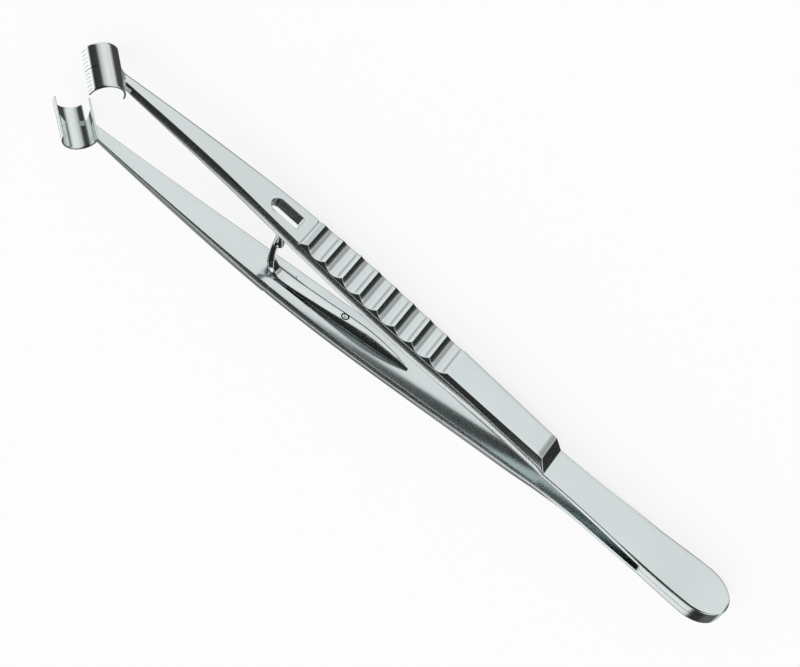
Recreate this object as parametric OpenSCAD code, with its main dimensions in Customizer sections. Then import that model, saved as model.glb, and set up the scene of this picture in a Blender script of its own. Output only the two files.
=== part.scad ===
// Bone ring holding forceps: a sprung tweezer whose two half-tube jaws close round a ring of bone.
// A catch on one arm snaps through a slot in the other and holds the jaws shut.
// It lies on its side: X runs to the welded rear end, Y towards the slotted arm, Z up.
// Places along the arms are distances from the rear end, and the arms are drawn sprung open.

/* [Overall] */
// Length from the front of the jaws to the rear end
overall_len = 160; // [156:1:180]
// Angle that each arm swings through as the jaws close
close_deg = 3.2; // [2.8:0.1:3.6]
// Space left between the edges of the closed jaws
closed_gap = 0.1; // [0.05:0.05:0.3]

/* [Spring end] */
// Width of the welded paddle at the rear
paddle_w = 10.9; // [9.5:0.1:12]
// Thickness of the welded paddle, both arms together
paddle_t = 3.7; // [3.3:0.1:4.4]
// Length of the paddle's rounded end
paddle_round = 6.9; // [5:0.1:8]
// Length of the weld, from the rear end to the end of the slit
weld_len = 18.4; // [16:0.1:21]
// Height of the slit between the blades, at the weld
slit_h = 1.5; // [1:0.1:2]
// Rise of a blade's inner face from the weld to the step
blade_rise = 0.6; // [0.4:0.05:0.8]
// Thickness of a spring blade
blade_t = 0.8; // [0.6:0.05:1]
// Width where a blade meets its grip pad
waist_w = 7.75; // [7:0.05:8.5]
// Distance from the rear end to the foot of the step up to the grip pad
step_at = 43; // [41:0.5:46]
// Length of the sloping step
step_run = 2.1; // [1.5:0.1:3]
// Width of the fine chamfer along thin edges
edge = 0.12; // [0.06:0.01:0.2]

/* [Grip pads] */
// Thickness of a grip pad
pad_t = 3.1; // [2.8:0.1:3.6]
// Greatest width of a grip pad
pad_w = 9.2; // [8.4:0.1:10]
// Distance from the rear end to the widest place
pad_wide_at = 87; // [84:1:90]
// Distance from the rear end to the front ridge
ridge_at = 104; // [102.5:0.1:105]
// Number of grooves across a pad
groove_count = 8; // [6:1:9]
// Distance between neighbouring ridges
groove_pitch = 4.38; // [4:0.02:4.6]
// Depth of a groove below the ridges
groove_depth = 0.85; // [0.6:0.05:1]
// Height of the sloping band along the top edge of a pad
bevel_h = 0.95; // [0.7:0.05:1.2]
// How far the sloping band leans in from the side
bevel_in = 0.58; // [0.4:0.02:0.8]

/* [Nose] */
// Length of the ramp from the nose up to the front ridge
ramp_run = 2.1; // [1.5:0.1:3]
// Thickness of the nose just ahead of the ramp
nose_t = 2.4; // [2.1:0.1:2.7]
// Width of the nose just ahead of the ramp
nose_w = 8.2; // [7.6:0.1:8.8]
// Distance from the rear end to the middle of the taper
taper_at = 126; // [123:1:129]
// Width at the middle of the taper
taper_w = 5.7; // [5.2:0.1:6.2]
// Thickness at the middle of the taper
taper_t = 2.25; // [2:0.05:2.4]
// Width of the tip
tip_w = 2.1; // [1.8:0.05:2.4]
// Thickness of the tip
tip_t = 1.3; // [1.2:0.05:1.5]
// Distance from the rear end to where the nose begins to bow inwards
bow_at = 90; // [86:1:95]
// Radius of that bow
bow_r = 870; // [800:10:1000]
// Height of the domed shoulders at the tip
dome_h = 1; // [0.8:0.05:1.1]
// How far the domed shoulders draw in at the tip
dome_in = 0.62; // [0.45:0.01:0.75]

/* [Jaws] */
// Outer radius of a half-tube jaw
jaw_r = 3.7; // [3.4:0.05:4]
// Wall of a half-tube jaw
jaw_wall = 0.4; // [0.3:0.05:0.6]
// Length of a half-tube jaw
jaw_len = 9.8; // [9:0.1:11]
// Angle of the jaws' axis to the arms
jaw_cant = 45; // [42:1:48]
// Height of the jaws' middle above the arms' middle
jaw_up = 1.3; // [0.8:0.1:1.6]
// Height of the arm's inner face at the tip above the jaw's edges
seat_rise = 0.8; // [0.6:0.05:1]

/* [Slot] */
// Distance from the rear end to the rear end of the slot
slot_at = 107.7; // [107.4:0.1:108.2]
// Length of the slot
slot_len = 6.8; // [6:0.1:7.5]
// Width of the slot
slot_w = 3.05; // [2.95:0.05:3.3]
// Radius of the slot's rear corners
slot_corner = 0.5; // [0.3:0.1:0.8]

/* [Catch] */
// Distance from the rear end to where the catch's spring strip flexes
flex_at = 103.6; // [103:0.1:104]
// Thickness of the spring strip
strip_t = 0.55; // [0.45:0.05:0.65]
// Width of the spring strip
strip_w = 2.9; // [2.8:0.05:3.1]
// Distance along the strip from the flex to the start of the bend
bend_at = 1; // [0.8:0.1:1.2]
// How far the bend sweeps forward
bend_reach = 3.1; // [3:0.05:3.3]
// Forward lean of the neck
neck_lean = 4; // [3:0.5:5]
// Thickness of the neck at its top
neck_t = 0.9; // [0.7:0.05:1]
// Width of the neck and the nub
neck_w = 2.5; // [2.3:0.05:2.6]
// How far the nub reaches rearwards from the neck
nub_reach = 1.2; // [1.15:0.05:1.3]
// Height of the nub's flat rear face
nub_face = 0.7; // [0.5:0.1:0.8]
// Height of the nub's slanted top
nub_slant = 2.8; // [2.6:0.1:3]
// Clearance under the nub when the catch has snapped
lock_clear = 0.3; // [0.2:0.05:0.5]
// Clearance of the nub from the rear end of the slot, with the arms open
nub_clear = 0.05; // [0:0.01:0.1]
// Distance from the rear end to the catch's pointed rear
keel_end = 75; // [73:1:78]
// Distance from the rear end to the highest place of its back
keel_at = 85.5; // [84:0.5:87]
// Height of the catch's back
keel_h = 2.1; // [1.8:0.1:2.4]
// Height at its pointed rear
keel_end_h = 0.4; // [0.3:0.1:0.8]
// Width of its back at the highest place
keel_w = 1.75; // [1.6:0.05:1.9]
// Width of its foot at the highest place
foot_w = 2.6; // [2.3:0.1:2.8]
// Distance from the rear end to the rivet
rivet_at = 90.5; // [89.5:0.1:91.5]
// Radius of the rivet
rivet_r = 0.82; // [0.7:0.02:0.9]
// Depth of the rivet in the arm
rivet_depth = 1.6; // [1.2:0.1:1.8]
// Radius of the centre dimple in the rivet
dimple_r = 0.25; // [0.15:0.01:0.35]
// Depth of the finger recess under the strip
recess_depth = 0.65; // [0.5:0.05:0.8]
// Length of the finger recess
recess_len = 11; // [9:0.5:13]
// Width of the finger recess
recess_w = 3.7; // [3.4:0.1:4.2]
// Distance from the flex to the front of the finger recess
recess_front = 4.4; // [4:0.1:5]

/* [Hidden] */
steel = [0.80, 0.83, 0.82];
steel_dark = [0.62, 0.66, 0.66];
// Running clearance at the flexing places, and the seat under the catch and round its rivet
flex_gap = 0.05;
seat_gap = 0.02;
overcut = 1;
dome_steps = 4;
nose_steps = 12;
keel_steps = 14;
// Share of the nose over which the domed shoulders grow, and of the weld that is the full paddle
dome_full = 0.45;
weld_full = 0.6;
bend_steps = 14;
end_steps = 9;
end_deg = 8;

// The rear end lies at +X, and the arms' middle plane stands half a paddle above the surface
rear_x = overall_len / 2;
mid_z = paddle_w / 2;
jaw_half_x = (jaw_len / 2 * cos(jaw_cant) + jaw_r * sin(jaw_cant)) * cos(close_deg);
jaw_x = jaw_half_x - overall_len / 2;
// The blades flex about their middle
bend_d = (weld_len + step_at) / 2;
bend_x = rear_x - bend_d;
blade_slope = blade_rise / (step_at - weld_len);
bend_y = slit_h / 2 + blade_slope * (bend_d - weld_len) + blade_t / 2;
// The jaws' edges meet in the middle plane when both arms have closed
jaw_y = bend_y + (closed_gap / 2 - bend_y - (jaw_x - bend_x) * sin(close_deg)) / cos(close_deg);
// The arms run on into the jaws' flanks and are cut to them
tip_d = rear_x - jaw_x - jaw_up;
step_y = slit_h / 2 + blade_rise;
bow_drop = pow(tip_d - bow_at, 2) / (2 * bow_r);
arm_slope = (jaw_y + seat_rise + bow_drop - step_y) / (tip_d - step_at);
pad_end = ridge_at - groove_count * groove_pitch;
groove_r = (pow(groove_pitch / 2, 2) + pow(groove_depth, 2)) / (2 * groove_depth);

// Smooth curve through [place, value] pairs
function span(k, d, i = 0) = (i >= len(k) - 2 || d < k[i + 1][0]) ? i : span(k, d, i + 1);
function rise(k, i) =
    let (a = k[max(i - 1, 0)], b = k[min(i + 1, len(k) - 1)]) (b[1] - a[1]) / (b[0] - a[0]);
function curve(k, d) =
    let (i = span(k, d),
         h = k[i + 1][0] - k[i][0],
         u = (d - k[i][0]) / h,
         ma = rise(k, i) * h,
         mb = rise(k, i + 1) * h)
    k[i][1] + u * ma + u * u * (3 * (k[i + 1][1] - k[i][1]) - 2 * ma - mb)
    + u * u * u * (2 * (k[i][1] - k[i + 1][1]) + ma + mb);
function blend(a, b, u) = a + (b - a) * min(max(u, 0), 1);

// An arm's width, inner face, thickness and edge shape at a distance from the rear end. Between
// the paddle and the waist the outline draws in at a hip ahead of the weld and a calf behind the step
paddle_draw = 0.15;
hip_from_weld = 3;
hip_share = 0.42;
calf_from_step = 9;
calf_more = 0.35;
waist_from_step = 3;
nose_at = ridge_at + ramp_run;
widths = [[paddle_round, paddle_w], [weld_len * weld_full, paddle_w - paddle_draw],
          [weld_len + hip_from_weld, blend(paddle_w, waist_w, hip_share)],
          [step_at - calf_from_step, waist_w + calf_more], [step_at + waist_from_step, waist_w],
          [pad_wide_at, pad_w], [nose_at, nose_w], [taper_at, taper_w], [tip_d, tip_w]];
thins = [[nose_at, nose_t], [taper_at, taper_t], [tip_d, tip_t]];
function arm_w(d) = curve(widths, d);
function inner_y(d) =
    d < step_at ? slit_h / 2 + blade_slope * (d - weld_len)
                : step_y + arm_slope * (d - step_at) - pow(max(d - bow_at, 0), 2) / (2 * bow_r);
function arm_t(d) =
    d <= step_at ? blade_t
    : d < step_at + step_run ? blend(blade_t, pad_t, (d - step_at) / step_run)
    : d <= ridge_at ? pad_t
    : d < nose_at ? blend(pad_t, nose_t, (d - ridge_at) / ramp_run)
    : curve(thins, d);
nose_len = tip_d - nose_at;
// How far the domed shoulders have grown: they are full before the middle of the nose
function dome_share(d) = (d - nose_at) / (dome_full * nose_len);
function edge_h(d) =
    d <= step_at ? edge
    : d < step_at + step_run ? blend(edge, bevel_h, (d - step_at) / step_run)
    : d <= ridge_at ? bevel_h
    : d < nose_at ? blend(bevel_h, edge, (d - ridge_at) / ramp_run)
    : blend(edge, dome_h, dome_share(d));
function edge_in(d) =
    d <= step_at ? edge
    : d < step_at + step_run ? blend(edge, bevel_in, (d - step_at) / step_run)
    : d <= ridge_at ? bevel_in
    : d < nose_at ? blend(bevel_in, edge, (d - ridge_at) / ramp_run)
    : blend(edge, dome_in, dome_share(d));

// One shoulder, from the side up to the outer face: straight on the pads, domed on the nose
function shoulder(w, top, h, in, dome) = [for (j = [0:dome_steps])
    let (u = j / dome_steps, a = 90 * u)
    [w / 2 - in * blend(u, 1 - cos(a), dome), top - h * blend(1 - u, 1 - sin(a), dome)]];
function flip_list(list) = [for (i = [len(list) - 1:-1:0]) list[i]];
function flip_z(list) = [for (p = list) [-p[0], p[1]]];
function flip_y(list) = [for (p = list) [p[0], -p[1]]];

// Cross-section of an arm, as [z, y] pairs
function arm_section(d) =
    let (w = arm_w(d), y = inner_y(d),
         s = shoulder(w, y + arm_t(d), edge_h(d), edge_in(d), d > ridge_at ? 1 : 0))
    concat([[edge - w / 2, y], [w / 2 - edge, y], [w / 2, y + edge]],
           s, flip_list(flip_z(s)), [[-w / 2, y + edge]]);

// Cross-section of the spring end with both blades and no slit
function end_w(d) =
    d < paddle_round ? paddle_w * sqrt(max(1 - pow(1 - d / paddle_round, 2), 0)) : arm_w(d);
function end_t(d) =
    let (blade_y = inner_y(max(d, weld_len)) + blade_t)
    d <= weld_len ? blend(paddle_t / 2, slit_h / 2 + blade_t, (d / weld_len - weld_full) / (1 - weld_full))
                  : blade_y;
function end_section(d) =
    let (e = min(2.5 * edge, end_w(d) / 4),
         s = shoulder(end_w(d), end_t(d), e, e, 1))
    concat(s, flip_list(flip_z(s)), flip_z(flip_y(s)), flip_list(flip_y(s)));

// Solid through a row of cross-sections given as [distance, points]
module loft(rows) {
    n = len(rows[0][1]);
    points = [for (r = rows) for (p = r[1]) [rear_x - r[0], p[1], mid_z + p[0]]];
    sides = [for (i = [0:len(rows) - 2]) for (j = [0:n - 1])
        [i * n + j, (i + 1) * n + j, (i + 1) * n + (j + 1) % n, i * n + (j + 1) % n]];
    last = (len(rows) - 1) * n;
    polyhedron(points, concat([[for (j = [0:n - 1]) j]], sides,
                              [[for (j = [n - 1:-1:0]) last + j]]));
}

// Round bar across an arm, along Z
module cross_bar(x, y, r, h) {
    translate([x, y, mid_z]) cylinder(r = r, h = h, center = true, $fn = 48);
}

// Full arm blank of the slotted side, from the flexing place to the jaw
module arm_blank() {
    stops = concat(
        [bend_d, blend(bend_d, step_at, 0.5), step_at, step_at + step_run],
        [for (i = [1:4]) blend(step_at + step_run, pad_end, i / 5)],
        [for (i = [0:groove_count]) pad_end + i * groove_pitch],
        [for (i = [0:nose_steps]) nose_at + i / nose_steps * nose_len]);
    difference() {
        union() {
            loft([for (d = stops) [d, arm_section(d)]]);
            cross_bar(bend_x, bend_y, blade_t / 2, arm_w(bend_d) - 2 * edge);
        }
        for (i = [1:groove_count]) groove(ridge_at - (i - 0.5) * groove_pitch);
        jaw_place() cylinder(r = jaw_r, h = 2 * jaw_len, center = true, $fn = 96);
    }
}

// Concave groove straight across the outer face
module groove(d) {
    y = inner_y(d) + pad_t - groove_depth + groove_r;
    cross_bar(rear_x - d, y, groove_r, pad_w + 2 * overcut);
}

// Places a jaw drawn about the Z axis, with its open side towards -Y
module jaw_place() {
    translate([jaw_x, jaw_y, mid_z + jaw_up])
        rotate([0, 0, -close_deg])
            rotate([0, 90 - jaw_cant, 0]) children();
}

module half_tube() {
    difference() {
        cylinder(r = jaw_r, h = jaw_len, center = true, $fn = 96);
        cylinder(r = jaw_r - jaw_wall, h = jaw_len + 2 * overcut, center = true, $fn = 96);
        translate([-jaw_r - overcut, -jaw_r - overcut, -jaw_len / 2 - overcut])
            cube([2 * (jaw_r + overcut), jaw_r + overcut, jaw_len + 2 * overcut]);
    }
}

// Oblong with a round front end and small rear corners, from x = 0 forwards
module slot_outline(len, w, corner) {
    translate([w / 2 - len, 0]) circle(d = w, $fn = 48);
    translate([w / 2 - len, -w / 2]) square([len - w / 2 - corner, w]);
    translate([-corner - overcut / 10, corner - w / 2]) square([corner + overcut / 10, w - 2 * corner]);
    for (side = [-1, 1])
        translate([-corner, side * (w / 2 - corner)]) circle(r = corner, $fn = 24);
}

// Stands an outline drawn in X and Z across the arms, from y = 0 up
module through_y(h) {
    rotate([90, 0, 0]) translate([0, 0, -h]) linear_extrude(h) children();
}

module spring_end() color(steel) {
    stops = concat(
        [for (i = [0:end_steps]) paddle_round * (1 - cos(end_deg + (90 - end_deg) * i / end_steps))],
        [for (i = [1:4]) blend(paddle_round, weld_len, i / 4)],
        [for (i = [1:4]) blend(weld_len, bend_d, i / 4)]);
    weld_x = rear_x - weld_len;
    mouth_y = slit_h / 2 + blade_slope * (bend_d + overcut - weld_len);
    slit_side = slit_h / 2;
    difference() {
        loft([for (d = stops) [d, end_section(d)]]);
        linear_extrude(2 * paddle_w)
            polygon([[weld_x, slit_side], [bend_x - overcut, mouth_y],
                     [bend_x - overcut, -mouth_y], [weld_x, -slit_side]]);
        cross_bar(weld_x, 0, slit_side, 2 * paddle_w);
        for (side = [-1, 1])
            cross_bar(bend_x, side * bend_y, blade_t / 2 + flex_gap, 2 * paddle_w);
    }
}

module slotted_arm() color(steel) difference() {
    arm_blank();
    translate([rear_x - slot_at, 0, mid_z])
        through_y(3 * jaw_y) slot_outline(slot_len, slot_w, slot_corner);
}

module slotted_jaw() color(steel) jaw_place() half_tube();

module catch_jaw() color(steel) mirror([0, 1, 0]) jaw_place() half_tube();

// The catch is drawn on the inner face of its arm: x forwards along the face, y off the face
hook_y = inner_y(flex_at);
hook_slope = arm_slope - max(flex_at - bow_at, 0) / bow_r;
hook_deg = atan(hook_slope);
module on_catch_face() {
    translate([rear_x - flex_at, -hook_y, mid_z])
        rotate([0, 0, hook_deg]) mirror([1, 0, 0]) children();
}

// Half the gap between the arms' inner faces at the slot, with the jaws closed
slot_gap = inner_y(slot_at) - (slot_at - bend_d) * tan(close_deg);
nub_low = 2 * slot_gap + arm_t(slot_at) + lock_clear;
nub_x = (slot_at + nub_clear - flex_at - nub_low * sin(hook_deg)) / cos(hook_deg);
nub_high = nub_low + nub_face;
neck_top = nub_high + nub_slant;
strip_y = seat_gap + strip_t / 2;
nub_round = 0.35;
nub_cut = 0.1;

// Centre line of the hook: along the strip, round the bend and up the leaning neck
neck_x = nub_x + nub_reach + neck_t / 2 + (neck_top - nub_low) * tan(neck_lean) / 2;
function bezier(a, b, c, d, u) =
    pow(1 - u, 3) * a + 3 * u * pow(1 - u, 2) * b + 3 * u * u * (1 - u) * c + pow(u, 3) * d;
// Share of the neck's height that its lower guide point stands at
bend_share = 0.27;
neck_a = [bend_at, strip_y];
neck_b = [bend_at + bend_reach, strip_y];
neck_c = [neck_x - (1 - bend_share) * neck_top * tan(neck_lean), bend_share * neck_top];
neck_d = [neck_x, neck_top];
function neck_point(u) = bezier(neck_a, neck_b, neck_c, neck_d, u);
function neck_normal(u) =
    let (t = neck_point(min(u + 0.01, 1)) - neck_point(max(u - 0.01, 0))) [-t[1], t[0]] / norm(t);
function neck_side(u, side) =
    neck_point(u) + side * neck_normal(u) * blend(strip_t, neck_t, u) / 2;

module hook_profile() {
    us = [for (i = [0:bend_steps]) i / bend_steps];
    polygon(concat([[0, strip_y - strip_t / 2]], [for (u = us) neck_side(u, -1)],
                   [for (i = [bend_steps:-1:0]) neck_side(us[i], 1)],
                   [[0, strip_y + strip_t / 2]]));
    // The nub: a flat rear face over a rounded foot, under a slanted top
    polygon([[nub_x + nub_reach + neck_t / 2, nub_low + nub_cut], [nub_x + nub_round, nub_low],
             [nub_x + nub_cut, nub_low + nub_cut], [nub_x, nub_low + nub_round], [nub_x, nub_high],
             [neck_x - neck_t / 2, neck_top - nub_cut], [neck_x, neck_top - 2 * nub_cut]]);
}

module catch_hook() color(steel_dark) on_catch_face() {
    // Outline seen from the front: the strip's width below, the neck's width above
    front = [[-strip_w / 2, -overcut], [strip_w / 2, -overcut], [strip_w / 2, 2 * strip_t],
             [neck_w / 2, 5 * strip_t], [neck_w / 2, neck_top + overcut],
             [-neck_w / 2, neck_top + overcut], [-neck_w / 2, 5 * strip_t],
             [-strip_w / 2, 2 * strip_t]];
    intersection() {
        translate([0, 0, -strip_w / 2]) linear_extrude(strip_w) hook_profile();
        rotate([0, 90, 0]) rotate([0, 0, 90])
            translate([0, 0, -overcut]) linear_extrude(neck_x + neck_t + 2 * overcut)
                polygon([for (p = front) [p[1], p[0]]]);
    }
    translate([0, strip_y, 0])
        cylinder(r = strip_t / 2, h = strip_w, center = true, $fn = 32);
}

// Back of the catch: level with the strip in front, highest and narrowest towards its pointed rear
keel_point_w = 0.2;
neck_in = keel_end + 4;
fall_at = rivet_at + 5;
strip_end = flex_at - 2;
keel_heights = [[keel_end, keel_end_h], [neck_in, 0.68 * keel_h], [keel_at, keel_h],
                [fall_at, 0.57 * keel_h], [strip_end, 1.18 * strip_t], [flex_at, strip_t]];
foot_widths = [[keel_end, keel_point_w], [neck_in, 0.62 * foot_w], [keel_at, foot_w],
               [fall_at, blend(foot_w, strip_w, 0.8)], [flex_at, strip_w]];
back_widths = [[keel_end, keel_point_w / 2], [neck_in, 0.6 * keel_w], [keel_at, keel_w],
               [fall_at, blend(keel_w, strip_w, 0.6)], [flex_at, strip_w]];
function keel_section(d) =
    let (w = curve(foot_widths, d), back = curve(back_widths, d), h = curve(keel_heights, d),
         y = seat_gap - inner_y(d), foot = min(0.3, h / 2), e = min(0.2, h / 4, back / 4))
    [[-w / 2, y], [-w / 2, y + foot], [-back / 2, y + h - e], [e - back / 2, y + h],
     [back / 2 - e, y + h], [back / 2, y + h - e], [w / 2, y + foot], [w / 2, y]];

// Places a drill or rivet square to the catch arm's inner face
rivet_top = curve(keel_heights, rivet_at);
module at_rivet() {
    translate([rear_x - rivet_at, -inner_y(rivet_at), mid_z])
        rotate([0, 0, atan(arm_slope)]) rotate([-90, 0, 0]) children();
}

module catch_base() color(steel_dark) difference() {
    stops = [for (i = [0:keel_steps]) blend(keel_end, flex_at, i / keel_steps)];
    loft([for (d = stops) [d, flip_list(keel_section(d))]]);
    on_catch_face() translate([0, strip_y, 0])
        cylinder(r = strip_t / 2 + flex_gap, h = 2 * strip_w, center = true, $fn = 32);
    at_rivet() cylinder(r = rivet_r + seat_gap, h = 2 * keel_h + overcut, $fn = 48);
}

module catch_rivet() color(steel) at_rivet() difference() {
    translate([0, 0, -rivet_depth]) cylinder(r = rivet_r, h = rivet_depth + rivet_top, $fn = 48);
    translate([0, 0, rivet_top]) sphere(r = dimple_r, $fn = 24);
}

// Finger recess: a ramp that deepens forwards under the strip, with a round front end
module recess() {
    front_d = flex_at + recess_front;
    back_d = front_d - recess_len;
    intersection() {
        translate([rear_x - back_d, 0, mid_z]) mirror([0, 1, 0])
            through_y(3 * jaw_y) slot_outline(recess_len, recess_w, slot_corner);
        translate([0, 0, mid_z - recess_w]) linear_extrude(2 * recess_w)
            polygon([[rear_x - back_d, -inner_y(back_d)],
                     [rear_x - flex_at, -inner_y(flex_at) - recess_depth],
                     [rear_x - front_d, -inner_y(front_d) - recess_depth],
                     [rear_x - front_d, 0], [rear_x - back_d, 0]]);
    }
}

module catch_arm() color(steel) difference() {
    mirror([0, 1, 0]) arm_blank();
    recess();
    at_rivet() translate([0, 0, -rivet_depth])
        cylinder(r = rivet_r + seat_gap, h = rivet_depth + overcut, $fn = 48);
}

spring_end();
slotted_arm();
catch_arm();
slotted_jaw();
catch_jaw();
catch_base();
catch_hook();
catch_rivet();
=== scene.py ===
from math import atan, cos, hypot, pi, radians, sin, sqrt, tan

import bmesh
import bpy
from mathutils import Matrix, Vector


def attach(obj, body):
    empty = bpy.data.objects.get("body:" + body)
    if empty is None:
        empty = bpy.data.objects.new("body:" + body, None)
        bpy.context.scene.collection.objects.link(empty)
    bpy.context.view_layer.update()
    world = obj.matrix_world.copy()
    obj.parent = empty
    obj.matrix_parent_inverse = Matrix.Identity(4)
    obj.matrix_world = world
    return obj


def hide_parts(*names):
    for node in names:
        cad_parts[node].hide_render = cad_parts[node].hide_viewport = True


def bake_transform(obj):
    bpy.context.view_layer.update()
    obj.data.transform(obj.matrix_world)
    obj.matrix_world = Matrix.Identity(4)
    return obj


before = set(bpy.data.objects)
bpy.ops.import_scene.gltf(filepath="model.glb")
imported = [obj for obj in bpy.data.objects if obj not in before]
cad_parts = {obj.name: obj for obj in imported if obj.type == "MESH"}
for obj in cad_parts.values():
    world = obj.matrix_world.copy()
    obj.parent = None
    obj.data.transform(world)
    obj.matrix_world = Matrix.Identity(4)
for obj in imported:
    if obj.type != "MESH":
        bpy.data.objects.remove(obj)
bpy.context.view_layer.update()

MM = 0.001

# Sizes, in millimetres. Places along the arms are distances from the rear end. Heights off the plane
# between the arms are counted outwards
REAR_X, MID_Z = 80.0, 5.45
PADDLE_W, PADDLE_HALF, PADDLE_ROUND, PADDLE_RIM = 10.9, 1.85, 6.9, 0.55
WELD_LEN, WELD_FULL, SLIT_HALF, BLADE_RISE, BLADE_T, WAIST_W = 18.4, 0.6, 0.75, 0.6, 0.8, 7.75
STEP_AT, STEP_RUN = 43.0, 2.1
PAD_T, PAD_W, PAD_WIDE_AT, RIDGE_AT = 3.1, 9.2, 87.0, 104.0
GROOVES, PITCH, GROOVE_DEPTH = 8, 4.38, 0.85
BEVEL_H, BEVEL_IN, EDGE_ROUND, EDGE_FINE = 0.95, 0.58, 0.16, 0.15
SCRIBE_DEPTH, SCRIBE_HALF = 0.12, 0.22
RAMP_RUN, RAMP_SEEN, NOSE_T, NOSE_W = 2.1, 1.4, 2.4, 8.2
TAPER_AT, TAPER_W, TAPER_T, TIP_W, TIP_T = 126.0, 5.7, 2.25, 2.1, 1.3
BOW_AT, BOW_R, DOME_H, DOME_IN, DOME_FULL = 90.0, 870.0, 1.0, 0.62, 0.45
# Seen from the camera, the catch arm's pad runs out into its blade without a step
RUN_OUT_AT, RUN_OUT = 33.0, 18.0
# The slotted arm's bevel grows towards the step; the catch arm's is wider, and the outer part of its
# side wall turns outwards
BEVEL_GROWS, BEVEL_REAR = 20.0, 1.75
CATCH_BEVEL_IN, CATCH_TURN_AT, CATCH_TURN = 0.95, 0.6, 0.25
# Bevel of the paddle and of the thin blade, and the place over which one becomes the other
PADDLE_BEVEL, BLADE_BEVEL, BEVEL_FADE = 0.42, 0.14, 6.0
# The side walls are polished a little round from here on, and lean by these shares of their height
CROWN_AT, CROWN_RUN, WALL_CROWN = 28.0, 20.0, 0.025
SLOTTED_LEANS = [(55.0, 0.0), (75.0, 0.07), (106.0, 0.07), (116.0, 0.035)]
CATCH_LEANS = [(28.0, 0.0), (40.0, 0.026), (55.0, 0.026), (75.0, 0.07), (106.0, 0.07), (116.0, 0.035)]
CLOSE_DEG, CLOSED_GAP = 3.2, 0.1
JAW_R, JAW_WALL, JAW_LEN, JAW_CANT, JAW_UP, SEAT_RISE = 3.7, 0.4, 9.8, 45.0, 1.3, 0.8
SLOT_AT, SLOT_LEN, SLOT_W, SLOT_CORNER = 107.7, 6.8, 3.05, 0.5
FLEX_AT, STRIP_T, STRIP_W, BEND_AT, BEND_REACH = 103.6, 0.55, 2.9, 1.0, 3.1
NECK_LEAN, NECK_T, NECK_FULL, NECK_W, NUB_REACH, NUB_FACE, NUB_SLANT = 4.0, 0.9, 1.15, 2.5, 1.2, 0.7, 2.8
LOCK_CLEAR, NUB_CLEAR, SEAT_GAP = 0.3, 0.05, 0.02
KEEL_END, KEEL_AT, KEEL_H, KEEL_END_H, KEEL_W, FOOT_W = 75.0, 85.5, 2.1, 0.4, 1.75, 2.6
RIVET_AT, DIMPLE_R = 90.5, 0.25
RECESS_DEPTH, RECESS_LEN, RECESS_W, RECESS_FRONT, RECESS_CORNER = 0.65, 11.0, 3.7, 4.4, 0.5
# How far the recess's round front end slopes back towards its floor
RECESS_SLOPE = 0.6
# The slot's lip is rounded by LIP, and the slot is wider outside and narrower inside by DRAFT
LIP, DRAFT = 0.12, 0.1
# Points across each rounded corner and up each side wall of an arm's section
CORNER_POINTS, WALL_POINTS = 5, 11


def mix(a, b, share):
    return a + (b - a) * min(max(share, 0.0), 1.0)


def ease(a, b, share):
    u = min(max(share, 0.0), 1.0)
    return a + (b - a) * u * u * (3 - 2 * u)


def eased(knots, d):
    """Value at d of a line through (place, value) pairs that runs level at each pair."""
    for (a, low), (b, high) in zip(knots, knots[1:]):
        if d < b:
            return ease(low, high, (d - a) / (b - a))
    return knots[-1][1]


def curve(knots, d):
    """Smooth curve through (place, value) pairs, the same one that shapes the solids."""
    last = len(knots) - 1
    i = 0
    while i < last - 1 and d >= knots[i + 1][0]:
        i += 1

    def slope(j):
        a, b = knots[max(j - 1, 0)], knots[min(j + 1, last)]
        return (b[1] - a[1]) / (b[0] - a[0])
    h = knots[i + 1][0] - knots[i][0]
    u = (d - knots[i][0]) / h
    a, b = knots[i][1], knots[i + 1][1]
    ma, mb = slope(i) * h, slope(i + 1) * h
    return a + u * ma + u * u * (3 * (b - a) - 2 * ma - mb) + u ** 3 * (2 * (a - b) + ma + mb)


# Lines of the arms that follow from the sizes: where the blades bend, where the closed jaws lie,
# and from that the arms' rise, worked out as in the solids
bend_d = (WELD_LEN + STEP_AT) / 2
bend_x = REAR_X - bend_d
blade_slope = BLADE_RISE / (STEP_AT - WELD_LEN)
bend_y = SLIT_HALF + blade_slope * (bend_d - WELD_LEN) + BLADE_T / 2
close = radians(CLOSE_DEG)
cant = radians(JAW_CANT)
jaw_x = (JAW_LEN / 2 * cos(cant) + JAW_R * sin(cant)) * cos(close) - REAR_X
jaw_y = bend_y + (CLOSED_GAP / 2 - bend_y - (jaw_x - bend_x) * sin(close)) / cos(close)
tip_d = REAR_X - jaw_x - JAW_UP
step_y = SLIT_HALF + BLADE_RISE
arm_slope = (jaw_y + SEAT_RISE + (tip_d - BOW_AT) ** 2 / (2 * BOW_R) - step_y) / (tip_d - STEP_AT)
pad_end = RIDGE_AT - GROOVES * PITCH
groove_r = ((PITCH / 2) ** 2 + GROOVE_DEPTH ** 2) / (2 * GROOVE_DEPTH)
nose_at = RIDGE_AT + RAMP_RUN
nose_len = tip_d - nose_at
ramp_end = RIDGE_AT + RAMP_SEEN
WIDTHS = [(PADDLE_ROUND, PADDLE_W), (WELD_LEN * WELD_FULL, PADDLE_W - 0.15),
          (WELD_LEN + 3, mix(PADDLE_W, WAIST_W, 0.42)), (STEP_AT - 9, WAIST_W + 0.35),
          (STEP_AT + 3, WAIST_W), (PAD_WIDE_AT, PAD_W), (nose_at, NOSE_W),
          (TAPER_AT, TAPER_W), (tip_d, TIP_W)]
THINS = [(nose_at, NOSE_T), (TAPER_AT, TAPER_T), (tip_d, TIP_T)]


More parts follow.
